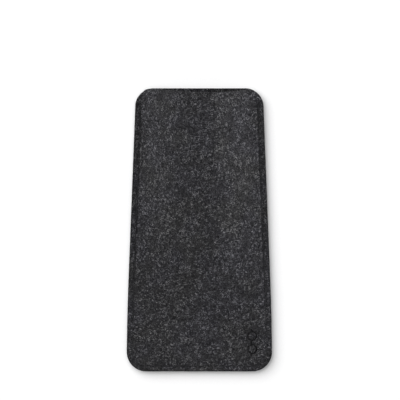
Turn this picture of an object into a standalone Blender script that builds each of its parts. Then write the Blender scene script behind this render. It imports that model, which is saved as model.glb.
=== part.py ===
"""Felt sleeve for a pair of eyeglasses, lying on its back with its mouth towards +Y.

Two tapered felt panels are lock-stitched together along both sides and round the closed end.
The back panel is flat. The front panel lies against it along the seam and arches up from it towards
the mouth, as the sleeve stands when it holds glasses. Units are metres, +Z is up, and the origin is
under the middle of the sleeve, on the surface that it lies on.
"""

import math

import bmesh
import bpy

# Outline, the same for both panels
LENGTH = 0.180
MOUTH_HALF_WIDTH = 0.0403  # the straight sides carried up to the mouth line
WIDEST_HALF_WIDTH = 0.0462  # near the closed end
SIDE_TAPER = 0.0388  # half width gained for each unit of length down from the mouth
TAPER_BLEND = 0.030  # length over which the taper turns into parallel sides
MOUTH_CORNER_RADIUS = 0.0110
END_CORNER_RADIUS = 0.0124

# Felt
FELT_THICKNESS = 0.003
CONTACT_GAP = 0.0003  # left between pieces that touch

# Arch of the front panel above the back panel
ARCH_HEIGHT = 0.017
ARCH_POWER = 1.7  # 1 is a ridged roof, 2 is a parabola
CROWN_ROUNDING = 0.008  # rounds the arch along its middle
FOOT_ROUNDING = 0.004  # rounds the arch where it rises from the lip
LIP_WIDTH = 0.005  # flat margin that the seam runs in
ARCH_FULL_TO = 0.042  # distance from the mouth where the arch begins to sink
ARCH_GONE_FROM = 0.162  # distance from the mouth where the panels lie flat together
MOUTH_DIP = 0.0034  # how far the front edge is drawn back from the mouth line
MOUTH_DIP_HALF_WIDTH = 0.036
MOUTH_DIP_REACH = 0.045  # the dip fades out over this length

# Seam
SEAM_INSET = 0.0035
SEAM_START = 0.010  # distance of its ends from the mouth line
THREAD_RADIUS = 0.00025
GROOVE_RADIUS = 0.0010  # the felt is pulled down this deep along the seam
GROOVE_OVERRUN = 0.0006  # the groove is this much longer than the thread at each end

# Finish: colour and roughness
FELT_COLOUR = (0.040, 0.040, 0.043)
FELT_ROUGHNESS = 0.95
THREAD_COLOUR = (0.022, 0.022, 0.024)
THREAD_ROUGHNESS = 0.80

# Mesh fineness
COLUMNS = 30
COLUMN_CROWDING = 1.25  # radians of a sine that draws the columns towards the sides
CORNER_ROWS = 6
STRAIGHT_ROWS = 22
SEAM_SIDE_STEPS = 10
SEAM_CORNER_STEPS = 7
WELD_DISTANCE = 1e-7

HALF_LENGTH = LENGTH / 2
FRONT_BASE = FELT_THICKNESS + CONTACT_GAP
THREAD_OFFSET = GROOVE_RADIUS - CONTACT_GAP - THREAD_RADIUS
TAPER_LENGTH = (WIDEST_HALF_WIDTH - MOUTH_HALF_WIDTH) / SIDE_TAPER


def smooth_step(value, start, end):
    """0 before start, 1 after end, and an S-curve between them."""
    t = min(max((value - start) / (end - start), 0.0), 1.0)
    return t * t * (3.0 - 2.0 * t)


def side_half_width(y):
    """Half width between the sides, with the rounded corners left out."""
    down = HALF_LENGTH - y
    blend = max(TAPER_BLEND - abs(down - TAPER_LENGTH), 0.0)
    tapered = min(down, TAPER_LENGTH) - blend * blend / (4.0 * TAPER_BLEND)
    return MOUTH_HALF_WIDTH + SIDE_TAPER * tapered


def outline_half_width(y):
    """Half width of the cut panel, with its rounded corners."""
    half_width = side_half_width(y)
    radius = MOUTH_CORNER_RADIUS if y > 0.0 else END_CORNER_RADIUS
    into_corner = abs(y) - (HALF_LENGTH - radius)
    if into_corner > 0.0:
        half_width -= radius - math.sqrt(max(radius * radius - into_corner * into_corner, 0.0))
    return half_width


def row_positions():
    """Y of each row of the panel's mesh: even along the sides, by angle round the corners."""
    angles = [math.pi / 2 * step / CORNER_ROWS for step in range(CORNER_ROWS)]
    end_centre = END_CORNER_RADIUS - HALF_LENGTH
    mouth_centre = HALF_LENGTH - MOUTH_CORNER_RADIUS
    rows = [end_centre - END_CORNER_RADIUS * math.cos(angle) for angle in angles]
    for step in range(STRAIGHT_ROWS + 1):
        rows.append(end_centre + (mouth_centre - end_centre) * step / STRAIGHT_ROWS)
    rows += [mouth_centre + MOUTH_CORNER_RADIUS * math.cos(angle) for angle in reversed(angles)]
    return rows


def rounded_start(distance, rounding):
    """Zero up to 0, then a ramp of slope 1 that starts in a curve."""
    return math.hypot(max(distance, 0.0), rounding) - rounding


def arch_rise(x, y):
    """Height of the front panel's inner face above the level where it lies on the back panel."""
    span = side_half_width(y) - LIP_WIDTH
    crown_to_foot = rounded_start(abs(x), CROWN_ROUNDING) / rounded_start(span, CROWN_ROUNDING)
    from_foot = span * (1.0 - crown_to_foot)
    foot_to_crown = rounded_start(from_foot, FOOT_ROUNDING) / rounded_start(span, FOOT_ROUNDING)
    across = 1.0 - (1.0 - foot_to_crown) ** ARCH_POWER
    along = 1.0 - smooth_step(HALF_LENGTH - y, ARCH_FULL_TO, ARCH_GONE_FROM)
    return ARCH_HEIGHT * across * along


def mouth_dip(x, y):
    """How far the arch draws the front panel back from the mouth line."""
    across = max(1.0 - (x / MOUTH_DIP_HALF_WIDTH) ** 2, 0.0)
    along = 1.0 - smooth_step(HALF_LENGTH - y, 0.0, MOUTH_DIP_REACH)
    return MOUTH_DIP * across * along


def seam_side(start):
    """Points down the +X side of the seam, from a distance under the mouth line to the corner."""
    corner_y = END_CORNER_RADIUS - HALF_LENGTH
    points = []
    for step in range(SEAM_SIDE_STEPS + 1):
        y = HALF_LENGTH - start + (corner_y - HALF_LENGTH + start) * step / SEAM_SIDE_STEPS
        points.append((side_half_width(y) - SEAM_INSET, y))
    return points


def seam_corner():
    """Points round the +X corner of the closed end, after the first."""
    centre_y = END_CORNER_RADIUS - HALF_LENGTH
    centre_x = side_half_width(centre_y) - END_CORNER_RADIUS
    radius = END_CORNER_RADIUS - SEAM_INSET
    points = []
    for step in range(1, SEAM_CORNER_STEPS + 1):
        angle = math.pi / 2 * step / SEAM_CORNER_STEPS
        points.append((centre_x + radius * math.cos(angle), centre_y - radius * math.sin(angle)))
    return points


def seam_path(start):
    """The whole seam, down one side, along the closed end and up the other side."""
    right = seam_side(start) + seam_corner()
    left = [(-x, y) for x, y in reversed(right)]
    return right + left


def plain_material(name, colour, roughness):
    material = bpy.data.materials.new(name)
    material.use_nodes = True
    shader = material.node_tree.nodes["Principled BSDF"]
    shader.inputs["Base Color"].default_value = (*colour, 1.0)
    shader.inputs["Roughness"].default_value = roughness
    shader.inputs["Metallic"].default_value = 0.0
    return material


def add_object(name, data, collection, parent=None):
    made = bpy.data.objects.new(name, data)
    collection.objects.link(made)
    made.parent = parent
    return made


def seam_tube(name, start, radius, collection, parent=None):
    """A round thread, or the channel it lies in, along the seam at the object's own height."""
    curve = bpy.data.curves.new(name, "CURVE")
    curve.dimensions = "3D"
    curve.bevel_depth = radius
    curve.bevel_resolution = 2
    curve.use_fill_caps = True
    path = seam_path(start)
    spline = curve.splines.new("POLY")
    spline.points.add(len(path) - 1)
    for point, (x, y) in zip(spline.points, path):
        point.co = (x, y, 0.0, 1.0)
    return add_object(name, curve, collection, parent)


def mesh_of_curve(curve_object, collection, parent=None):
    """The curve made into a closed mesh object that Boolean modifiers can use."""
    bpy.context.view_layer.update()
    evaluated = curve_object.evaluated_get(bpy.context.evaluated_depsgraph_get())
    mesh = bpy.data.meshes.new_from_object(evaluated)
    shell = bmesh.new()
    shell.from_mesh(mesh)
    bmesh.ops.remove_doubles(shell, verts=shell.verts, dist=WELD_DISTANCE)
    bmesh.ops.recalc_face_normals(shell, faces=shell.faces)
    shell.to_mesh(mesh)
    shell.free()
    name = curve_object.name
    bpy.data.objects.remove(curve_object)
    return add_object(name, mesh, collection, parent)


def groove_cutter(name, height, cutters):
    tube = seam_tube(name + "_path", SEAM_START - GROOVE_OVERRUN, GROOVE_RADIUS, cutters)
    cutter = mesh_of_curve(tube, cutters)
    cutter.name = name
    cutter.location.z = height
    cutter.hide_render = True
    cutter.display_type = "WIRE"
    return cutter


def cut(target, cutter):
    boolean = target.modifiers.new("seam_groove", "BOOLEAN")
    boolean.operation = "DIFFERENCE"
    boolean.solver = "EXACT"
    boolean.object = cutter


def back_panel(collection, parent, material, cutters):
    """A flat tapered panel, lying on z = 0."""
    edge = [(outline_half_width(y), y) for y in row_positions()]
    outline = edge + [(-x, y) for x, y in reversed(edge)]
    curve = bpy.data.curves.new("back_panel_outline", "CURVE")
    curve.dimensions = "2D"
    curve.fill_mode = "BOTH"
    curve.extrude = FELT_THICKNESS / 2
    spline = curve.splines.new("POLY")
    spline.points.add(len(outline) - 1)
    for point, (x, y) in zip(spline.points, outline):
        point.co = (x, y, 0.0, 1.0)
    spline.use_cyclic_u = True
    panel = mesh_of_curve(add_object("back_panel", curve, collection), collection, parent)
    panel.name = "back_panel"
    panel.location.z = FELT_THICKNESS / 2
    panel.data.materials.clear()
    panel.data.materials.append(material)
    cut(panel, groove_cutter("back_groove_cutter", 0.0, cutters))
    return panel


def front_panel(collection, parent, material, cutters):
    """The arched panel: a grid of its inner face, given the felt's thickness upwards."""
    rows = row_positions()
    grid = bmesh.new()
    bmesh.ops.create_grid(grid, x_segments=COLUMNS, y_segments=len(rows) - 1, size=1.0)
    for vert in grid.verts:
        row = round((vert.co.y + 1.0) / 2.0 * (len(rows) - 1))
        y = rows[row]
        crowded = math.sin(vert.co.x * COLUMN_CROWDING) / math.sin(COLUMN_CROWDING)
        x = crowded * outline_half_width(y)
        vert.co = (x, y - mouth_dip(x, y), arch_rise(x, y))
    mesh = bpy.data.meshes.new("front_panel")
    grid.to_mesh(mesh)
    grid.free()
    mesh.materials.append(material)
    mesh.shade_smooth()
    panel = add_object("front_panel", mesh, collection, parent)
    panel.location.z = FRONT_BASE
    thickness = panel.modifiers.new("felt", "SOLIDIFY")
    thickness.thickness = FELT_THICKNESS
    thickness.offset = 1.0
    thickness.use_even_offset = True
    thickness.use_rim = True
    cut(panel, groove_cutter("front_groove_cutter", FRONT_BASE + FELT_THICKNESS, cutters))
    return panel


def thread(name, height, collection, parent, material):
    piece = seam_tube(name, SEAM_START, THREAD_RADIUS, collection, parent)
    piece.location.z = height
    piece.data.materials.append(material)
    return piece


def clear_scene():
    for existing in list(bpy.data.objects):
        bpy.data.objects.remove(existing)


def build():
    clear_scene()
    parts = bpy.data.collections.new("eyeglasses_case")
    cutters = bpy.data.collections.new("cutters")
    for collection in (parts, cutters):
        bpy.context.scene.collection.children.link(collection)
    frame = add_object("eyeglasses_case_frame", None, parts)

    felt = plain_material("anthracite_felt", FELT_COLOUR, FELT_ROUGHNESS)
    yarn = plain_material("seam_thread", THREAD_COLOUR, THREAD_ROUGHNESS)

    back_panel(parts, frame, felt, cutters)
    front_panel(parts, frame, felt, cutters)
    top_of_front = FRONT_BASE + FELT_THICKNESS
    thread("needle_thread", top_of_front - THREAD_OFFSET, parts, frame, yarn)
    thread("bobbin_thread", THREAD_OFFSET, parts, frame, yarn)
    bpy.context.view_layer.update()


build()
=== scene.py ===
"""The looks of the felt eyeglasses sleeve: two marl felt panels and the seam that joins them.

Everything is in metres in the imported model's own frame: +Z up, +Y towards the mouth. Both panels are
grids of felt with real thickness, cut to the same outline as the CAD solids. The front panel's arch is
as high as the CAD one, with its crown a little to the right.
"""

import math

import bpy
import numpy as np
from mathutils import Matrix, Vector, noise


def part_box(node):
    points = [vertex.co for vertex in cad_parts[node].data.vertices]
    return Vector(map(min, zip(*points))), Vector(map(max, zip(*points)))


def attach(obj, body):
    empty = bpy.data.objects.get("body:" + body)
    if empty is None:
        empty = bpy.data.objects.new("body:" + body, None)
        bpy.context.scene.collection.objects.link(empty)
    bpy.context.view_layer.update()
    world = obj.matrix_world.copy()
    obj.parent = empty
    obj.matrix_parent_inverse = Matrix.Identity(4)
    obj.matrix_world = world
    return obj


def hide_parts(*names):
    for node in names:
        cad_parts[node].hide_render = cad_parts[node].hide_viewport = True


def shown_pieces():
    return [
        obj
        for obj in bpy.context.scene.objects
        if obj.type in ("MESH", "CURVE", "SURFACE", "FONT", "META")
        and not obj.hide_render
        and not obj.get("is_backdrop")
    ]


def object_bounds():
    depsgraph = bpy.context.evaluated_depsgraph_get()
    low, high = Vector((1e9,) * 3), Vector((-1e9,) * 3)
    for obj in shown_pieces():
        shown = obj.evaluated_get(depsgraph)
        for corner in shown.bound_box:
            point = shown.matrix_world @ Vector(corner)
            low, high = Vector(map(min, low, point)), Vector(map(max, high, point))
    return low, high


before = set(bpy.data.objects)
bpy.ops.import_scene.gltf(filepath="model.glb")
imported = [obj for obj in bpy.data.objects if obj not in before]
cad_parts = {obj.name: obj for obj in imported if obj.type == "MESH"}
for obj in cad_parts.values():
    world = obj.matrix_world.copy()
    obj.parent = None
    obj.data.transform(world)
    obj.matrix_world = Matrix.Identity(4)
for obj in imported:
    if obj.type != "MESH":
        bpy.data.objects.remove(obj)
cad_low, cad_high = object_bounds()

MM = 0.001

# Read from the frame
BACK_LOW, BACK_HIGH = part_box("back_panel")
FRONT_LOW, FRONT_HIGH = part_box("front_panel")
THREAD_LOW, THREAD_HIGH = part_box("needle_thread")
HALF_LENGTH = BACK_HIGH.y
FELT_THICKNESS = BACK_HIGH.z - BACK_LOW.z
ARCH_HEIGHT = FRONT_HIGH.z - FRONT_LOW.z - FELT_THICKNESS
THREAD_RADIUS = (THREAD_HIGH.z - THREAD_LOW.z) / 2
SEAM_INSET = BACK_HIGH.x - THREAD_HIGH.x + THREAD_RADIUS
SEAM_START = HALF_LENGTH - THREAD_HIGH.y

# The outline that the CAD panels are cut to
MOUTH_HALF_WIDTH = 40.3 * MM
WIDEST_HALF_WIDTH = 46.2 * MM
SIDE_TAPER = 0.0388  # half width gained for each unit of length down from the mouth
TAPER_BLEND = 30 * MM  # length over which the taper turns into parallel sides
TAPER_LENGTH = (WIDEST_HALF_WIDTH - MOUTH_HALF_WIDTH) / SIDE_TAPER
MOUTH_CORNER_RADIUS = 11.0 * MM
END_CORNER_RADIUS = 12.4 * MM

# Arch of the front panel
CROWN_SHIFT = 3.5 * MM  # how far right of the middle the crown lies at the mouth
CROWN_SLANT = 0.04  # and how much further for each unit of length down from the mouth
CROWN_ROUNDING_LEFT = 8 * MM
CROWN_ROUNDING_RIGHT = 3 * MM
ARCH_POWER_LEFT = 1.7  # 1 is a ridged roof, 2 is a parabola
ARCH_POWER_RIGHT = 1.3
FOOT_ROUNDING = 4 * MM
LIP_WIDTH = 5 * MM  # flat margin that the seam runs in
ARCH_FULL_TO = 42 * MM  # distance from the mouth where the arch begins to sink
ARCH_GONE_FROM = 162 * MM  # distance from the mouth where the panels lie flat together
MOUTH_DIP = 3.1 * MM  # how far the front edge is drawn back from the mouth line, at the crown
MOUTH_DIP_LEAST = 0.4 * MM  # and how far beside the arch, fading out down to the seam
MOUTH_DIP_HALF_WIDTH = 31.5 * MM
MOUTH_DIP_ROUNDING = 0.1  # share of the dip over which it begins
MOUTH_DIP_REACH = 45 * MM  # distance from the mouth where the felt is no longer drawn back

# Felt pressed by the seam
PANEL_CONTACT = 0.06 * MM  # how closely the sewn panels lie together
LIP_PRESS = 0.40 * MM  # the felt is this much thinner outside the seam
GROOVE_DEPTH = 0.26 * MM
GROOVE_HALF_WIDTH = 0.95 * MM
GROOVE_SMOOTHING = 0.6  # how much of the felt's unevenness is pressed out of the front's groove
SEAM_FADE = (-1.5 * MM, 1.0 * MM)  # the pressing sets in over this stretch about the seam's start
LIP_EDGE = 2.4 * MM  # the felt thickens over this width inside the seam
BITE_AT_SIDES = 0.90  # how much of these depths the front takes along its upper sides
BITE_AT_END = 0.30  # and how much at the closed end, where nothing pushes the panels apart
BACK_GROOVE_DEPTH = 0.65 * MM
SHOULDER_RISE = 0.30 * MM  # the felt swells this much further inside
SHOULDER_INSET = 7.0 * MM
SHOULDER_SPREAD = 2.4 * MM
EDGE_ROUNDING = 0.55 * MM
INNER_EDGE_ROUNDING = 0.40 * MM
INNER_ROUNDING_TO = 20 * MM  # distance from the mouth that the front's inner edge is rounded to
STITCH_PITCH = 3.7 * MM
DIMPLE_DEPTH = 0.35 * MM
DIMPLE_RADIUS = 0.8 * MM

# How matted the felt looks and how much painted shade it gets, from 0 to 1, where it is cut or fully
# pressed
# Painted shade and matting on the felt's cut edges
CUT_EDGE_SHADE = 0.75
CUT_EDGE_FADE = (0.3 * EDGE_ROUNDING, 2.0 * EDGE_ROUNDING)  # where it fades on the front's sewn edges
# Painted shade and matting in the seam's groove and stitch holes
FRONT_GROOVE_SHADE = 0.12
FRONT_DIMPLE_SHADE = 0.30
BACK_GROOVE_SHADE = 0.90
BACK_DIMPLE_SHADE = 0.40
# Painted shade and matting where the panels press together outside the seam
LIP_SHADE = 0.30
INNER_LIP_SHADE = 0.40

# Unevenness of the felt: size and height of its long swells, its lumps and its short fibre clumps
RELIEF_LAYERS = ((26 * MM, 0.22 * MM), (5.0 * MM, 0.10 * MM), (1.3 * MM, 0.085 * MM))
INNER_RELIEF = 0.5  # the inner face is this much as uneven as the outer one
UNDERSIDE_RELIEF = 0.6
CUT_EDGE_LUMPS = 0.9 * MM
CUT_EDGE_ROUGHNESS = 0.09 * MM
CUT_EDGE_SWELL = 0.08 * MM

# Seeds of the noise on each surface
OUTER_SEED, INNER_SEED, FRONT_EDGE_SEED = 3, 7, 11
UPPER_SEED, UNDERSIDE_SEED, BACK_EDGE_SEED = 13, 19, 23
STITCH_SEED = 31

# Pressed spectacles sign, near the right corner of the closed end
SIGN_CENTRE = (33.6 * MM, -71.7 * MM)
SIGN_RING_RADIUS = 2.75 * MM
SIGN_RING_SPACING = 8.4 * MM
SIGN_LINE_HALF_WIDTH = 0.42 * MM
SIGN_BRIDGE_SHIFT = 0.5 * MM  # the bridge and the hooks lie this far off the rings' centre line
SIGN_HOOK_LENGTH = 1.3 * MM
SIGN_LINE_FADE = (0.45 * SIGN_LINE_HALF_WIDTH, 1.8 * SIGN_LINE_HALF_WIDTH)  # its sloping sides
SIGN_DEPTH = 0.60 * MM
SIGN_REACH = (4.6 * MM, 9.6 * MM)  # half sizes of the field with a finer grid

# Fineness of the panels' grids, in mm
EDGE_STEPS = [0.0, 0.10, 0.25, 0.45, 0.70, 1.00, 1.35, 1.75]
SEAM_STEP = 0.42
SEAM_STEPS_TO = 8.5
FACE_STEP = 0.85
SIGN_STEP = 0.30
RIM_LOOPS = 5  # rings of points down the cut edge

# Fineness of what is worked out step by step
SLOPE_STEP = 0.05 * MM  # for the arch's slope
SEAM_SIDE_POINTS, SEAM_CORNER_POINTS, SEAM_END_POINTS = 400, 60, 200


# ---------------------------------------------------------------- shape of the sleeve


def smooth_step(value, start, end):
    """From 0 at the start to 1 at the end, level at both."""
    t = np.clip((value - start) / (end - start), 0.0, 1.0)
    return t * t * (3.0 - 2.0 * t)


def bell(value, spread):
    """1 at zero, falling to nothing on either side."""
    return np.exp(-((value / spread) ** 2))


def side_half_width(y):
    """Half width between the sides, with the rounded corners left out."""
    down = HALF_LENGTH - y
    blend = np.maximum(TAPER_BLEND - np.abs(down - TAPER_LENGTH), 0.0)
    tapered = np.minimum(down, TAPER_LENGTH) - blend * blend / (4.0 * TAPER_BLEND)
    return MOUTH_HALF_WIDTH + SIDE_TAPER * tapered


def corner_radius(y):
    """Radius of the mouth's corners above the middle, and of the closed end's below it."""
    return np.where(y > 0.0, MOUTH_CORNER_RADIUS, END_CORNER_RADIUS)


def outline_half_width(y):
    """Half width of the cut panel, with its rounded corners."""
    radius = corner_radius(y)
    into_corner = np.clip(np.abs(y) - (HALF_LENGTH - radius), 0.0, radius)
    return side_half_width(y) - radius + np.sqrt(radius**2 - into_corner**2)


def edge_inset(x, y, with_mouth=True):
    """Distance in from the cut edge; without the mouth, from the sewn edges only."""
    radius = corner_radius(y)
    from_side = side_half_width(y) - np.abs(x)
    from_end = HALF_LENGTH - np.abs(y)
    if not with_mouth:
        from_end = np.where(y > 0.0, HALF_LENGTH, from_end)
    in_corner = (from_side < radius) & (from_end < radius)
    rounded = radius - np.hypot(radius - from_side, radius - from_end)
    return np.where(in_corner, rounded, np.minimum(from_side, from_end))


def rounded_start(distance, rounding):
    """A straight rise from zero, eased in over about the rounding."""
    return np.hypot(np.maximum(distance, 0.0), rounding) - rounding


def arch_rise(x, y):
    """Height of the front panel's inner face above the back panel's."""
    crown_x = CROWN_SHIFT + CROWN_SLANT * (HALF_LENGTH - y)
    on_right = x > crown_x
    span = side_half_width(y) - LIP_WIDTH + np.where(on_right, -crown_x, crown_x)
    rounding = np.where(on_right, CROWN_ROUNDING_RIGHT, CROWN_ROUNDING_LEFT)
    crown_to_foot = rounded_start(np.abs(x - crown_x), rounding) / rounded_start(span, rounding)
    from_foot = span * (1.0 - crown_to_foot)
    foot_to_crown = rounded_start(from_foot, FOOT_ROUNDING) / rounded_start(span, FOOT_ROUNDING)
    power = np.where(on_right, ARCH_POWER_RIGHT, ARCH_POWER_LEFT)
    across = 1.0 - (1.0 - foot_to_crown) ** power
    along = 1.0 - smooth_step(HALF_LENGTH - y, ARCH_FULL_TO, ARCH_GONE_FROM)
    return ARCH_HEIGHT * across * along


def arch_normal(x, y):
    """Unit vectors straight out from the arch."""
    slope_x = (arch_rise(x + SLOPE_STEP, y) - arch_rise(x - SLOPE_STEP, y)) / (2 * SLOPE_STEP)
    slope_y = (arch_rise(x, y + SLOPE_STEP) - arch_rise(x, y - SLOPE_STEP)) / (2 * SLOPE_STEP)
    normal = np.stack([-slope_x, -slope_y, np.ones_like(x)], axis=-1)
    return normal / np.linalg.norm(normal, axis=-1)[..., None]


def mouth_dip(x, y):
    """How far the front panel is drawn back towards the closed end."""
    down = HALF_LENGTH - y
    hollow = 1.0 - ((x - CROWN_SHIFT) / MOUTH_DIP_HALF_WIDTH) ** 2
    across = rounded_start(hollow, MOUTH_DIP_ROUNDING) / rounded_start(1.0, MOUTH_DIP_ROUNDING)
    along = 1.0 - smooth_step(down, 0.0, MOUTH_DIP_REACH)
    above_seam = 1.0 - smooth_step(down, 0.0, SEAM_START)
    return (MOUTH_DIP - MOUTH_DIP_LEAST) * across * along + MOUTH_DIP_LEAST * above_seam


def seam_points():
    """The seam's line in plan, finely, down the right side, along the closed end and up the left."""
    corner_y = END_CORNER_RADIUS - HALF_LENGTH
    down = np.linspace(HALF_LENGTH - SEAM_START, corner_y, SEAM_SIDE_POINTS)
    side = np.column_stack([side_half_width(down) - SEAM_INSET, down])
    turn = np.linspace(0.0, math.pi / 2, SEAM_CORNER_POINTS)[1:]
    radius = END_CORNER_RADIUS - SEAM_INSET
    centre_x = float(side_half_width(np.array(corner_y))) - END_CORNER_RADIUS
    corner = np.column_stack([centre_x + radius * np.cos(turn), corner_y - radius * np.sin(turn)])
    right = np.vstack([side, corner])
    left = right[::-1] * (-1.0, 1.0)
    bottom_x = np.linspace(right[-1, 0], left[0, 0], SEAM_END_POINTS)[1:-1]
    bottom = np.column_stack([bottom_x, np.full(len(bottom_x), right[-1, 1])])
    return np.vstack([right, bottom, left])


def stitch_holes():
    """Where the needle went through, evenly along the seam."""
    line = seam_points()
    along = np.concatenate([[0.0], np.cumsum(np.hypot(*np.diff(line, axis=0).T))])
    count = round(along[-1] / STITCH_PITCH)
    at = np.linspace(0.0, along[-1], count + 1)
    return np.column_stack([np.interp(at, along, line[:, 0]), np.interp(at, along, line[:, 1])])


HOLES = stitch_holes()


def hole_distance(x, y):
    """Distance to the nearest stitch hole, worked out only near the seam."""
    nearest = np.full(x.shape, 1.0)
    near = np.abs(edge_inset(x, y, with_mouth=False) - SEAM_INSET) < 3 * DIMPLE_RADIUS
    points = np.column_stack([x[near], y[near]])
    gaps = points[:, None, :] - HOLES[None, :, :]
    nearest[near] = np.sqrt((gaps**2).sum(axis=2)).min(axis=1)
    return nearest


def front_bite(y):
    """How deeply the seam bites into the front: less and less from the middle to the closed end."""
    from_end = np.clip((y + HALF_LENGTH) / HALF_LENGTH, 0.0, 1.0)
    return BITE_AT_END + (BITE_AT_SIDES - BITE_AT_END) * from_end


def seam_profiles(x, y):
    """(groove, dimples, lip), each from 0 to 1: the seam, its stitch holes and the lip outside it."""
    inset = edge_inset(x, y, with_mouth=False)
    sewn = smooth_step(HALF_LENGTH - y, SEAM_START + SEAM_FADE[0], SEAM_START + SEAM_FADE[1])
    groove = bell(inset - SEAM_INSET, GROOVE_HALF_WIDTH) * sewn
    dimples = bell(hole_distance(x, y), DIMPLE_RADIUS)
    lip = (1.0 - smooth_step(inset, SEAM_INSET, SEAM_INSET + LIP_EDGE)) * sewn
    return groove, dimples, lip


def sign_profile(x, y):
    """From 0 to 1, the lines of the pressed spectacles sign: two rings, a bridge and two hooks."""
    across = x - SIGN_CENTRE[0]
    along = y - SIGN_CENTRE[1]
    half_gap = SIGN_RING_SPACING / 2
    ring = np.abs(np.hypot(across, np.abs(along) - half_gap) - SIGN_RING_RADIUS)
    bridge_length = half_gap - SIGN_RING_RADIUS
    shifted = across + SIGN_BRIDGE_SHIFT
    bridge = np.hypot(shifted, np.maximum(np.abs(along) - bridge_length, 0.0))
    hook_start = half_gap + SIGN_RING_RADIUS
    beyond = np.abs(along) - hook_start
    hook = np.hypot(shifted, beyond - np.clip(beyond, 0.0, SIGN_HOOK_LENGTH))
    line = np.minimum(np.minimum(ring, bridge), hook)
    return 1.0 - smooth_step(line, *SIGN_LINE_FADE)


def round_over(inset, radius):
    """How far a rounded edge has dropped below the face, at that distance in from it."""
    short = np.clip(radius - inset, 0.0, radius)
    return radius - np.sqrt(radius**2 - short**2)


# ---------------------------------------------------------------- grids and meshes


def steps_in_from_edge(reach):
    """Positions in mm from an edge to the middle: fine at the edge and the seam, coarser inside."""
    steps = list(EDGE_STEPS)
    while steps[-1] + SEAM_STEP < SEAM_STEPS_TO:
        steps.append(steps[-1] + SEAM_STEP)
    count = math.ceil((reach - steps[-1]) / FACE_STEP)
    inner = np.linspace(steps[-1], reach, count + 1)[1:]
    return np.concatenate([steps, inner])


def refined(values, low, high, step):
    """The same rising values, with the stretch from low to high filled at a finer step."""
    count = math.ceil((high - low) / step)
    fine = np.linspace(low, high, count + 1)
    outside = (values < low - step / 2) | (values > high + step / 2)
    return np.sort(np.concatenate([values[outside], fine]))


def panel_grid(fine_sign):
    """(x, y) arrays of a panel laid flat, one row for each y, following the outline."""
    half_width = WIDEST_HALF_WIDTH / MM
    right = half_width - steps_in_from_edge(half_width)
    columns = np.unique(np.concatenate([-right, right]).round(6))
    length = 2 * HALF_LENGTH / MM
    lower = steps_in_from_edge(length / 2) - length / 2
    rows = np.unique(np.concatenate([lower, -lower]).round(6))
    if fine_sign:
        centre_x, centre_y = (value / MM for value in SIGN_CENTRE)
        reach_x, reach_y = (value / MM for value in SIGN_REACH)
        columns = refined(columns, centre_x - reach_x, centre_x + reach_x, SIGN_STEP)
        rows = refined(rows, centre_y - reach_y, centre_y + reach_y, SIGN_STEP)
    share = columns / half_width
    y = np.repeat((rows * MM)[:, None], len(columns), axis=1)
    x = share[None, :] * outline_half_width(y)
    return x, y


def relief(points, size, seed):
    """Smooth noise from about -1 to 1, with lumps of that size in metres, at each point."""
    offset = Vector((seed * 17.3, seed * 5.1, seed * 9.7))
    flat = points.reshape(-1, 3) / size
    values = [noise.noise(Vector(point) + offset) for point in flat.tolist()]
    return np.array(values).reshape(points.shape[:-1])


def felt_relief(points, seed):
    """Height of the uneven felt above its mean face, in metres."""
    total = 0.0
    for layer, (size, height) in enumerate(RELIEF_LAYERS):
        total = total + relief(points, size, seed + layer) * height
    return total


def perimeter(rows, columns):
    """Grid positions round the border, anticlockwise seen from above."""
    bottom = [(0, c) for c in range(columns)]
    right = [(r, columns - 1) for r in range(1, rows)]
    top = [(rows - 1, c) for c in range(columns - 2, -1, -1)]
    left = [(r, 0) for r in range(rows - 2, 0, -1)]
    return np.array(bottom + right + top + left)


def grid_faces(rows, columns, first, upwards):
    index = np.arange(rows * columns).reshape(rows, columns) + first
    a, b = index[:-1, :-1].ravel(), index[:-1, 1:].ravel()
    c, d = index[1:, 1:].ravel(), index[1:, :-1].ravel()
    return np.column_stack([a, b, c, d] if upwards else [a, d, c, b])


def ring_faces(upper, lower):
    """A band of faces, outward, between two rings of vertex numbers."""
    return np.column_stack([lower, np.roll(lower, -1), np.roll(upper, -1), upper])


def cut_edge(upper_ring, lower_ring, seed):
    """Rings of points down the felt's cut edge, slightly swollen and rough."""
    tangent = np.roll(upper_ring, -1, axis=0) - np.roll(upper_ring, 1, axis=0)
    outward = np.column_stack([tangent[:, 1], -tangent[:, 0], np.zeros(len(tangent))])
    outward /= np.linalg.norm(outward, axis=1)[:, None]
    rings = []
    for loop in range(1, RIM_LOOPS + 1):
        t = loop / (RIM_LOOPS + 1)
        ring = upper_ring * (1 - t) + lower_ring * t
        rough = relief(ring, CUT_EDGE_LUMPS, seed) * CUT_EDGE_ROUGHNESS
        swell = CUT_EDGE_SWELL * math.sin(math.pi * t)
        rings.append(ring + outward * (swell + rough)[:, None])
    return rings


def closed_shell(name, top, bottom, matting_and_shade, seed):
    """A closed mesh object from its top and bottom grids, with the cut edge between them.

    The fourth argument gives how matted each grid's points are and how much shade is painted on them;
    the shader reads it as an attribute.
    """
    rows, columns = top.shape[:2]
    border = perimeter(rows, columns)
    top_ring = border[:, 0] * columns + border[:, 1]
    bottom_ring = top_ring + rows * columns
    points = [top.reshape(-1, 3), bottom.reshape(-1, 3)]
    faces = [grid_faces(rows, columns, 0, True), grid_faces(rows, columns, rows * columns, False)]
    rings = [top_ring]
    first = 2 * rows * columns
    edge = cut_edge(points[0][top_ring], points[1][top_ring], seed)
    for ring in edge:
        points.append(ring)
        rings.append(np.arange(first, first + len(ring)))
        first += len(ring)
    rings.append(bottom_ring)
    for upper, lower in zip(rings, rings[1:]):
        faces.append(ring_faces(upper, lower))
    made = mesh_object(name, np.vstack(points), np.vstack(faces))
    edge_points = first - 2 * rows * columns
    # The cut edge's rings get the same painted shade and matting all over
    values = np.concatenate([*(grid.ravel() for grid in matting_and_shade), np.full(edge_points, CUT_EDGE_SHADE)])
    attribute = made.data.attributes.new("matting_and_shade", "FLOAT", "POINT")
    attribute.data.foreach_set("value", values.astype(np.float32))
    return made


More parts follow.
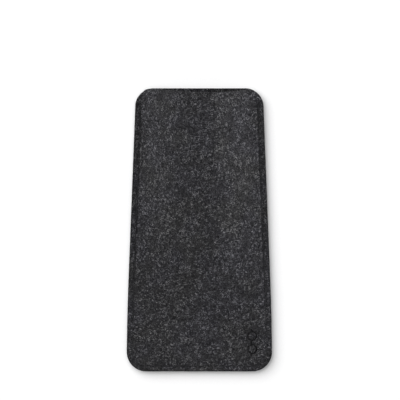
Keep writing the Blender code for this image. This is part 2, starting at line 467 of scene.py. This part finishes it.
def mesh_object(name, points, quads):
    mesh = bpy.data.meshes.new(name)
    mesh.vertices.add(len(points))
    mesh.vertices.foreach_set("co", points.astype(np.float32).ravel())
    mesh.loops.add(quads.size)
    mesh.loops.foreach_set("vertex_index", quads.astype(np.int32).ravel())
    mesh.polygons.add(len(quads))
    mesh.polygons.foreach_set("loop_start", np.arange(0, quads.size, 4, dtype=np.int32))
    mesh.update(calc_edges=True)
    mesh.validate()
    mesh.shade_smooth()
    made = bpy.data.objects.new(name, mesh)
    bpy.context.scene.collection.objects.link(made)
    return made


# ---------------------------------------------------------------- panels


def front_felt():
    """The arched front panel: its inner face rises from the seam, and its outer face is pressed."""
    x, y = panel_grid(fine_sign=True)
    base = FELT_THICKNESS + PANEL_CONTACT
    inner = np.stack([x, y, base + arch_rise(x, y)], axis=-1)
    normal = arch_normal(x, y)
    inset = edge_inset(x, y)
    sewn_inset = edge_inset(x, y, with_mouth=False)
    groove, dimples, lip = (profile * front_bite(y) for profile in seam_profiles(x, y))
    sign = sign_profile(x, y)
    thickness = FELT_THICKNESS - LIP_PRESS * lip - GROOVE_DEPTH * groove - DIMPLE_DEPTH * dimples
    thickness += SHOULDER_RISE * bell(sewn_inset - SHOULDER_INSET, SHOULDER_SPREAD)
    thickness -= round_over(inset, EDGE_ROUNDING) + SIGN_DEPTH * sign
    outer = inner + normal * thickness[..., None]
    outer_relief = felt_relief(outer, OUTER_SEED) * (1.0 - GROOVE_SMOOTHING * groove)
    outer += normal * outer_relief[..., None]
    roundness = round_over(inset, INNER_EDGE_ROUNDING) * (HALF_LENGTH - y < INNER_ROUNDING_TO)
    inner_relief = INNER_RELIEF * np.abs(felt_relief(inner, INNER_SEED)) * (1.0 - lip)
    inner += normal * (roundness + inner_relief)[..., None]
    for face in (outer, inner):
        face[..., 1] -= mouth_dip(x, y)
    # Painted shade and matting on the front's sewn edges, fading inwards
    edge_matting_and_shade = CUT_EDGE_SHADE * (1.0 - smooth_step(sewn_inset, *CUT_EDGE_FADE))
    # Painted shade and matting in the seam's groove and stitch holes
    seam_matting_and_shade = FRONT_GROOVE_SHADE * groove + FRONT_DIMPLE_SHADE * dimples
    # The sign's pressed lines get matting and painted shade at full strength
    matting_and_shade = np.clip(seam_matting_and_shade + sign + edge_matting_and_shade, 0.0, 1.0)
    # The inner face gets painted shade and matting where it presses on the back panel
    return closed_shell("front_felt", outer, inner, (matting_and_shade, INNER_LIP_SHADE * lip), FRONT_EDGE_SEED)


def back_felt():
    """The flat back panel, with the seam's groove in its underside."""
    x, y = panel_grid(fine_sign=False)
    inset = edge_inset(x, y)
    groove, dimples, lip = seam_profiles(x, y)
    upper_z = FELT_THICKNESS - round_over(inset, INNER_EDGE_ROUNDING)
    upper = np.stack([x, y, upper_z], axis=-1)
    upper[..., 2] -= np.abs(felt_relief(upper, UPPER_SEED)) * (1.0 - lip)
    lower_z = round_over(inset, EDGE_ROUNDING) + BACK_GROOVE_DEPTH * groove + DIMPLE_DEPTH * dimples
    lower = np.stack([x, y, lower_z], axis=-1)
    lower[..., 2] += np.abs(felt_relief(lower, UNDERSIDE_SEED)) * UNDERSIDE_RELIEF
    # Painted shade and matting in the seam's groove and stitch holes
    seam_matting_and_shade = BACK_GROOVE_SHADE * groove + BACK_DIMPLE_SHADE * dimples
    # The underside gets painted shade and matting in the seam and along the lip
    matting_and_shade = np.clip(seam_matting_and_shade + LIP_SHADE * lip, 0.0, 1.0)
    # The upper face gets painted shade and matting where the front presses on it
    return closed_shell("back_felt", upper, lower, (LIP_SHADE * lip, matting_and_shade), BACK_EDGE_SEED)


# ---------------------------------------------------------------- seam threads

PLIES = 3
PLY_RADIUS = 0.135 * MM
PLY_OFFSET = 0.135 * MM
TWIST_PITCH = 1.5 * MM
PLY_SIDES = 6  # two quads close each six-sided end
POINTS_PER_STITCH = 16
STITCH_SINK = 0.65 * MM  # the thread dives this far at each hole
STITCH_DIVE_POWER = 5  # and the higher this is, the more steeply
STITCH_PROUD = 0.10 * MM  # and its centre lies this far above the groove's floor between them
STITCH_DRIFT = 0.10 * MM  # the stitches stray this much from the line
DRIFT_STEPS = (0.37, 0.9)  # how far apart the drift's noise is read, by hole and by turn
BACKTACK_STITCHES = 3
BACKTACK_OFFSET = 0.30 * MM  # the doubled stitches lie this far beside the others


def needle_route():
    """The holes in the order they were sewn, with a few stitches doubled back at each end."""
    count = len(HOLES)
    order = list(range(BACKTACK_STITCHES, 0, -1)) + list(range(count))
    order += list(range(count - 2, count - 2 - BACKTACK_STITCHES, -1))
    by_hole, by_turn = DRIFT_STEPS
    spots = np.array([(hole * by_hole, 0.0, turn * by_turn) for turn, hole in enumerate(order)])
    drift = relief(spots, 1.0, STITCH_SEED) * STITCH_DRIFT
    ahead = HOLES[np.minimum(np.array(order) + 1, count - 1)]
    behind = HOLES[np.maximum(np.array(order) - 1, 0)]
    along = ahead - behind
    along /= np.linalg.norm(along, axis=1)[:, None]
    across = np.column_stack([-along[:, 1], along[:, 0]])
    doubled = np.zeros(len(order))
    doubled[:BACKTACK_STITCHES] = BACKTACK_OFFSET
    doubled[-BACKTACK_STITCHES:] = BACKTACK_OFFSET
    return HOLES[order] + across * (drift + doubled)[:, None]


def front_groove_floor(y):
    """Height of the groove that the upper thread lies in."""
    return 2 * FELT_THICKNESS + PANEL_CONTACT - (LIP_PRESS + GROOVE_DEPTH) * front_bite(y)


def back_groove_floor(y):
    """Height of the groove that the lower thread lies in."""
    return np.full(y.shape, BACK_GROOVE_DEPTH)


def thread_path(floor, up):
    """The thread's centre line: up out of a hole, over the felt and down the next hole."""
    route = needle_route()
    t = np.arange(POINTS_PER_STITCH)[None, :, None] / POINTS_PER_STITCH
    plan = (route[:-1, None, :] * (1 - t) + route[1:, None, :] * t).reshape(-1, 2)
    lift = np.tile(1.0 - np.abs(2.0 * t.ravel() - 1.0) ** STITCH_DIVE_POWER, len(route) - 1)
    above = lift * (STITCH_SINK + STITCH_PROUD) - STITCH_SINK
    return np.column_stack([plan, floor(plan[:, 1]) + up * above])


def twisted_thread(name, path):
    """Plies wound round the path, each a closed tube, as one mesh."""
    tangent = np.gradient(path, axis=0)
    tangent /= np.linalg.norm(tangent, axis=1)[:, None]
    side = np.cross(tangent, (0.0, 0.0, 1.0))
    side /= np.linalg.norm(side, axis=1)[:, None]
    lift = np.cross(side, tangent)
    run = np.concatenate([[0.0], np.cumsum(np.linalg.norm(np.diff(path, axis=0), axis=1))])
    points, quads, first = [], [], 0
    ring = 2 * math.pi * np.arange(PLY_SIDES) / PLY_SIDES
    for ply in range(PLIES):
        turn = 2 * math.pi * (run / TWIST_PITCH + ply / PLIES)
        out = side * np.cos(turn)[:, None] + lift * np.sin(turn)[:, None]
        centre = path + out * PLY_OFFSET
        tube = (
            centre[:, None, :]
            + side[:, None, :] * (np.cos(ring) * PLY_RADIUS)[None, :, None]
            + lift[:, None, :] * (np.sin(ring) * PLY_RADIUS)[None, :, None]
        )
        index = np.arange(len(path) * PLY_SIDES).reshape(len(path), PLY_SIDES) + first
        a, b = index[:-1], index[1:]
        quads.append(np.stack([a, np.roll(a, -1, 1), np.roll(b, -1, 1), b], -1).reshape(-1, 4))
        for cap, order in ((index[0], (0, 5, 4, 3, 2, 1)), (index[-1], (0, 1, 2, 3, 4, 5))):
            c = cap[list(order)]
            quads.append(np.array([[c[0], c[1], c[2], c[3]], [c[0], c[3], c[4], c[5]]]))
        points.append(tube.reshape(-1, 3))
        first += index.size
    return mesh_object(name, np.vstack(points), np.vstack(quads))


# ---------------------------------------------------------------- materials

# Colours of the felt's wool
GROUND_DARK = (0.0066, 0.0064, 0.0073, 1)
GROUND_LIGHT = (0.0248, 0.0244, 0.0268, 1)
DARK_FIBRE = (0.0048, 0.0046, 0.0053, 1)
WARM_GREY_FIBRE = (0.0575, 0.0566, 0.0580, 1)
COOL_GREY_FIBRE = (0.0545, 0.0548, 0.0628, 1)
PALE_HAIR = (0.165, 0.164, 0.172, 1)
PALE_TUFT = (0.268, 0.266, 0.278, 1)
WARM_DYE = (1.00, 1.00, 0.97, 1)
COOL_DYE = (1.00, 1.00, 1.04, 1)
BLACK = (0, 0, 0, 1)

# Colours of the thread and the floor
THREAD_DARK = (0.008, 0.008, 0.009, 1)
THREAD_LIGHT = (0.026, 0.026, 0.029, 1)
THREAD_WORN = (0.034, 0.034, 0.038, 1)
PAPER_SHADED = (0.84, 0.84, 0.845, 1)
PAPER_WHITE = (0.88, 0.88, 0.88, 1)

# Pale tufts of parallel fibres
TUFT_LENGTH = 2.6 * MM
TUFT_WIDTH = 0.58 * MM
TUFT_SHARE = 0.34  # share of the places for a tuft that hold one
TUFT_TURNS = (0.25, 1.05, 1.75, 2.45, 3.0)  # directions that the tufts lie in, in radians
TUFT_STREAKS = (0.45, 5.5, 5.5)  # streaks along a tuft and across it

# Curled fibres: seed, size of their curls, how thick they look, and the level where they break off
GREY_FIBRES = ((3, 1.2 * MM, 0.050, 0.44), (4, 0.8 * MM, 0.055, 0.46))
LONG_HAIRS = ((6, 2.6 * MM, 0.012, 0.46), (7, 3.4 * MM, 0.009, 0.46))
DARK_FIBRES = (5, 1.5 * MM, 0.090, 0.40)

# Sizes and heights in the patterns
SWIRL_SIZE = 2.2 * MM
SWIRL_BEND = 1.6 * MM  # how far a swirl bends the fibres
CLOUD_SIZE = 5.5 * MM  # patches of more or fewer pale tufts
FLUFF_SIZE = 0.9 * MM
DYE_LOT_SIZE = 18 * MM
FIBRE_HEIGHT = 0.16 * MM
FILAMENT_SIZE = 0.09 * MM
FILAMENT_HEIGHT = 0.03 * MM
WORN_STRETCH = 2.5 * MM
PAPER_GRAIN = 1.2 * MM


class Nodes:
    """Short calls for building a material's node tree."""

    def __init__(self, name):
        self.material = bpy.data.materials.new(name)
        self.material.use_nodes = True
        self.tree = self.material.node_tree
        self.shader = self.tree.nodes["Principled BSDF"]
        self.coords = self.add("ShaderNodeTexCoord").outputs["Object"]

    def add(self, kind, **settings):
        node = self.tree.nodes.new(kind)
        for key, value in settings.items():
            setattr(node, key, value)
        return node

    def feed(self, socket, value):
        if isinstance(value, bpy.types.NodeSocket):
            self.tree.links.new(value, socket)
        else:
            socket.default_value = value

    def math(self, operation, a, b=0.0):
        node = self.add("ShaderNodeMath", operation=operation)
        self.feed(node.inputs[0], a)
        self.feed(node.inputs[1], b)
        return node.outputs[0]

    def vector(self, operation, a, b):
        node = self.add("ShaderNodeVectorMath", operation=operation)
        self.feed(node.inputs[0], a)
        self.feed(node.inputs[1], b)
        return node.outputs[0]

    def scaled(self, a, factor):
        node = self.add("ShaderNodeVectorMath", operation="SCALE")
        self.feed(node.inputs[0], a)
        node.inputs["Scale"].default_value = factor
        return node.outputs[0]

    def noise(self, coords, size, detail=0.0, roughness=0.5):
        """Noise with lumps of about that size in metres; returns its node."""
        node = self.add("ShaderNodeTexNoise")
        self.feed(node.inputs["Vector"], coords)
        node.inputs["Scale"].default_value = 1.0 / size
        node.inputs["Detail"].default_value = detail
        node.inputs["Roughness"].default_value = roughness
        return node

    def ramp(self, value, low, high, to_low=0.0, to_high=1.0):
        """The value from low to high, eased, as one from to_low to to_high."""
        node = self.add("ShaderNodeMapRange", interpolation_type="SMOOTHSTEP")
        self.feed(node.inputs["Value"], value)
        node.inputs["From Min"].default_value = low
        node.inputs["From Max"].default_value = high
        node.inputs["To Min"].default_value = to_low
        node.inputs["To Max"].default_value = to_high
        return node.outputs["Result"]

    def mix(self, factor, a, b):
        node = self.add("ShaderNodeMix", data_type="RGBA")
        self.feed(node.inputs["Factor"], factor)
        self.feed(node.inputs["A"], a)
        self.feed(node.inputs["B"], b)
        return node.outputs["Result"]

    def raise_surface(self, height, strength, distance):
        """Bump on the shader, from a height of 0 to 1 and the distance in metres that it stands for."""
        bump = self.add("ShaderNodeBump")
        bump.inputs["Strength"].default_value = strength
        bump.inputs["Distance"].default_value = distance
        self.feed(bump.inputs["Height"], height)
        self.feed(self.shader.inputs["Normal"], bump.outputs["Normal"])


def curled_fibres(nodes, warped, seed, size, width, gap_level):
    """Long curled fibres: thin level lines of a noise, broken up by a coarser one."""
    shifted = nodes.vector("ADD", warped, (seed * 0.113, seed * 0.071, seed * 0.197))
    level = nodes.math("SUBTRACT", nodes.noise(shifted, size, 1.0).outputs["Fac"], 0.5)
    line = nodes.ramp(nodes.math("ABSOLUTE", level), 0.0, width, 1.0, 0.0)
    breaks = nodes.noise(shifted, size * 1.3).outputs["Fac"]
    return nodes.math("MULTIPLY", line, nodes.ramp(breaks, gap_level, gap_level + 0.10))


def tufts(nodes, warped, turn):
    """Tufts of fine parallel fibres lying one way: stretched cells, some filled with streaks."""
    mapping = nodes.add("ShaderNodeMapping", vector_type="TEXTURE")
    nodes.feed(mapping.inputs["Vector"], warped)
    mapping.inputs["Location"].default_value = (turn * 0.031, turn * 0.017, turn * 0.023)
    tilt = (0.35 * math.sin(7 * turn), 0.3 * math.cos(5 * turn))
    mapping.inputs["Rotation"].default_value = (*tilt, turn)
    mapping.inputs["Scale"].default_value = (TUFT_LENGTH, TUFT_WIDTH, TUFT_WIDTH)
    lengthwise = mapping.outputs["Vector"]
    cells = nodes.add("ShaderNodeTexVoronoi")
    nodes.feed(cells.inputs["Vector"], lengthwise)
    cells.inputs["Scale"].default_value = 1.0
    body = nodes.ramp(cells.outputs["Distance"], 0.12, 0.52, 1.0, 0.0)
    split = nodes.add("ShaderNodeSeparateColor")
    nodes.feed(split.inputs["Color"], cells.outputs["Color"])
    chosen = nodes.ramp(split.outputs["Red"], 1.0 - TUFT_SHARE, 1.0)
    streaked = nodes.vector("MULTIPLY", lengthwise, TUFT_STREAKS)
    streaks = nodes.ramp(nodes.noise(streaked, 1.0, 1.0).outputs["Fac"], 0.40, 0.58, 0.16, 1.10)
    return nodes.math("MULTIPLY", nodes.math("MULTIPLY", body, chosen), streaks)


def brightest(nodes, layers):
    """The brightest of several layers of fibres at each point."""
    result = layers[0]
    for layer in layers[1:]:
        result = nodes.math("MAXIMUM", result, layer)
    return result


def felt_colour(nodes, cloud, matting_and_shade, fluff, dark, grey, hairs, pale):
    """Dark wool, the paler fibres over it, a slow drift of the dye, and darker where it is matted and
    where shade is painted.
    """
    ground = nodes.mix(nodes.ramp(fluff, 0.36, 0.64), GROUND_DARK, GROUND_LIGHT)
    ground = nodes.mix(nodes.math("MULTIPLY", dark, 0.75), ground, DARK_FIBRE)
    tint = nodes.mix(nodes.ramp(cloud, 0.38, 0.62), WARM_GREY_FIBRE, COOL_GREY_FIBRE)
    ground = nodes.mix(nodes.math("MULTIPLY", grey, 0.55), ground, tint)
    ground = nodes.mix(nodes.math("MULTIPLY", hairs, 0.62), ground, PALE_HAIR)
    colour = nodes.mix(pale, ground, PALE_TUFT)

    dye_lot = nodes.ramp(nodes.noise(nodes.coords, DYE_LOT_SIZE, 1.0).outputs["Fac"], 0.35, 0.65)
    dye = nodes.mix(dye_lot, WARM_DYE, COOL_DYE)
    # Darker where the felt is matted, and painted shade in the seam, the sign, on the cut edges and
    # between the panels
    shade = nodes.mix(nodes.math("MULTIPLY", matting_and_shade, 0.45), dye, BLACK)
    tone = nodes.add("ShaderNodeMix", data_type="RGBA", blend_type="MULTIPLY")
    tone.inputs["Factor"].default_value = 1.0
    nodes.feed(tone.inputs["A"], colour)
    nodes.feed(tone.inputs["B"], shade)
    return tone.outputs["Result"]


def felt_material():
    """Dense needled felt in anthracite marl: dark wool with paler, cooler and warmer fibres."""
    nodes = Nodes("anthracite_marl_felt")
    matting_and_shade = nodes.add("ShaderNodeAttribute", attribute_name="matting_and_shade").outputs["Fac"]
    # Fewer pale flecks where the felt is matted and where shade is painted
    fleck_share = nodes.math("SUBTRACT", 1.0, nodes.math("MULTIPLY", matting_and_shade, 0.60))
    swirl = nodes.noise(nodes.coords, SWIRL_SIZE, 2.0).outputs["Color"]
    bend = nodes.scaled(nodes.vector("SUBTRACT", swirl, (0.5, 0.5, 0.5)), SWIRL_BEND)
    warped = nodes.vector("ADD", nodes.coords, bend)
    cloud = nodes.noise(nodes.coords, CLOUD_SIZE, 2.0, 0.6).outputs["Fac"]
    fluff = nodes.noise(warped, FLUFF_SIZE, 2.0, 0.6).outputs["Fac"]

    pale = brightest(nodes, [tufts(nodes, warped, turn) for turn in TUFT_TURNS])
    pale = nodes.math("MULTIPLY", pale, nodes.ramp(cloud, 0.36, 0.60, 0.22, 1.06))
    pale = nodes.math("MULTIPLY", pale, fleck_share)
    grey = brightest(nodes, [curled_fibres(nodes, warped, *kind) for kind in GREY_FIBRES])
    grey = nodes.math("MULTIPLY", grey, fleck_share)
    hairs = brightest(nodes, [curled_fibres(nodes, warped, *kind) for kind in LONG_HAIRS])
    hairs = nodes.math("MULTIPLY", hairs, fleck_share)
    dark = curled_fibres(nodes, warped, *DARK_FIBRES)

    colour = felt_colour(nodes, cloud, matting_and_shade, fluff, dark, grey, hairs, pale)
    nodes.feed(nodes.shader.inputs["Base Color"], colour)
    fibres = brightest(nodes, [pale, grey, hairs, nodes.math("MULTIPLY", fluff, 0.9)])
    nodes.feed(nodes.shader.inputs["Roughness"], nodes.ramp(fibres, 0.3, 1.0, 0.98, 0.82))
    nodes.raise_surface(fibres, 0.55, FIBRE_HEIGHT)
    nodes.shader.inputs["Specular IOR Level"].default_value = 0.10
    nodes.shader.inputs["Sheen Weight"].default_value = 0.03
    nodes.shader.inputs["Sheen Roughness"].default_value = 0.6
    nodes.shader.inputs["Sheen Tint"].default_value = (0.80, 0.81, 0.85, 1.0)
    return nodes.material


def thread_material():
    """Near-black twisted polyester, with fine filaments and a faint gloss."""
    nodes = Nodes("seam_polyester_thread")
    filaments = nodes.noise(nodes.coords, FILAMENT_SIZE, 3.0, 0.6).outputs["Fac"]
    worn = nodes.noise(nodes.coords, WORN_STRETCH, 1.0).outputs["Fac"]
    colour = nodes.mix(nodes.ramp(filaments, 0.3, 0.7), THREAD_DARK, THREAD_LIGHT)
    colour = nodes.mix(nodes.ramp(worn, 0.4, 0.7, 0.0, 0.35), colour, THREAD_WORN)
    nodes.feed(nodes.shader.inputs["Base Color"], colour)
    nodes.feed(nodes.shader.inputs["Roughness"], nodes.ramp(filaments, 0.2, 0.8, 0.62, 0.42))
    nodes.raise_surface(filaments, 0.4, FILAMENT_HEIGHT)
    nodes.shader.inputs["Specular IOR Level"].default_value = 0.20
    return nodes.material


def floor_material():
    """White studio paper with a faint grain."""
    nodes = Nodes("studio_paper")
    grain = nodes.noise(nodes.coords, PAPER_GRAIN, 2.0).outputs["Fac"]
    colour = nodes.mix(grain, PAPER_SHADED, PAPER_WHITE)
    nodes.feed(nodes.shader.inputs["Base Color"], colour)
    nodes.shader.inputs["Roughness"].default_value = 0.9
    nodes.shader.inputs["Specular IOR Level"].default_value = 0.1
    return nodes.material


# ---------------------------------------------------------------- the object


def stand_for(piece, material, node):
    """Gives a piece its material and puts it in the CAD node's place on the one rigid body."""
    piece.data.materials.append(material)
    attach(piece, "root")
    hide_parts(node)


def build_sleeve():
    felt = felt_material()
    thread = thread_material()
    front, back = front_felt(), back_felt()
    stand_for(front, felt, "front_panel")
    stand_for(back, felt, "back_panel")

    needle = twisted_thread("front_stitches", thread_path(front_groove_floor, 1.0))
    stand_for(needle, thread, "needle_thread")
    bobbin = twisted_thread("back_stitches", thread_path(back_groove_floor, -1.0))
    stand_for(bobbin, thread, "bobbin_thread")


# ---------------------------------------------------------------- studio

FRAME_WIDTH = 254.3 * MM  # what the picture takes in, at the felt's height
CAMERA_HEIGHT = 2.5  # above the felt along the seam
CAMERA_OFFSET = (0.4 * MM, 18.95 * MM)  # the picture's middle from the sleeve's
CAMERA_REACH = 10.0
FLOOR_SIZE = 6.0
FLOOR_GAP = 0.1 * MM

# Soft lights: name, azimuth and elevation in degrees, distance, size, and strength in watts
FLOOR_LIGHTS = (
    ("floor_upper_left", 138, 53, 3.0, 3.2, 94.0),
    ("floor_overhead", 90, 85, 3.0, 2.0, 30.0),
)
SLEEVE_LIGHTS = (
    ("sleeve_right", -8, 10, 1.5, 0.7, 26.0),
    ("sleeve_left", 172, 10, 1.5, 0.7, 20.0),
    ("sleeve_upper_left", 120, 60, 1.5, 0.8, 9.0),
)
WORLD_STRENGTH = 0.32


def add_floor():
    bpy.ops.mesh.primitive_plane_add(size=FLOOR_SIZE, location=(0, 0, -FLOOR_GAP))
    floor = bpy.context.object
    floor.name = "studio_floor"
    floor.data.materials.append(floor_material())
    floor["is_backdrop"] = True
    return floor


def light_group(name, members):
    group = bpy.data.collections.new(name)
    for member in members:
        group.objects.link(member)
    return group


def add_softbox(lights_only, name, azimuth, elevation, distance, size, strength):
    """A square soft light aimed at the sleeve. Azimuth 0 is over +X and 90 over +Y."""
    a, e = math.radians(azimuth), math.radians(elevation)
    towards = Vector((math.cos(a) * math.cos(e), math.sin(a) * math.cos(e), math.sin(e)))
    light = bpy.data.lights.new(name, "AREA")
    light.shape = "SQUARE"
    light.size = size
    light.energy = strength
    lamp = bpy.data.objects.new(name, light)
    lamp.location = towards * distance
    lamp.rotation_mode = "QUATERNION"
    lamp.rotation_quaternion = towards.to_track_quat("Z", "Y")
    lamp.visible_camera = False
    lamp.light_linking.receiver_collection = lights_only
    bpy.context.scene.collection.objects.link(lamp)


def add_lights(floor):
    """A high light whitens the floor and throws the shadow; low side lights rake across the felt."""
    paper = light_group("floor_light_group", [floor])
    sleeve = light_group("sleeve_light_group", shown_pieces())
    for settings in FLOOR_LIGHTS:
        add_softbox(paper, *settings)
    for settings in SLEEVE_LIGHTS:
        add_softbox(sleeve, *settings)
    world = bpy.data.worlds.new("studio")
    world.use_nodes = True
    background = world.node_tree.nodes["Background"]
    background.inputs["Color"].default_value = (1.0, 1.0, 1.0, 1.0)
    background.inputs["Strength"].default_value = WORLD_STRENGTH
    bpy.context.scene.world = world


def add_camera():
    """Looks straight down, with a long lens."""
    data = bpy.data.cameras.new("camera")
    camera = bpy.data.objects.new("camera", data)
    bpy.context.scene.collection.objects.link(camera)
    data.lens = data.sensor_width * CAMERA_HEIGHT / FRAME_WIDTH
    data.clip_end = CAMERA_REACH
    lip_height = 2 * FELT_THICKNESS
    centre = (cad_low + cad_high) / 2
    camera.location = (
        centre.x + CAMERA_OFFSET[0],
        centre.y + CAMERA_OFFSET[1],
        lip_height + CAMERA_HEIGHT,
    )
    bpy.context.scene.camera = camera


build_sleeve()
add_lights(add_floor())
add_camera()
bpy.context.scene.view_settings.view_transform = "Standard"
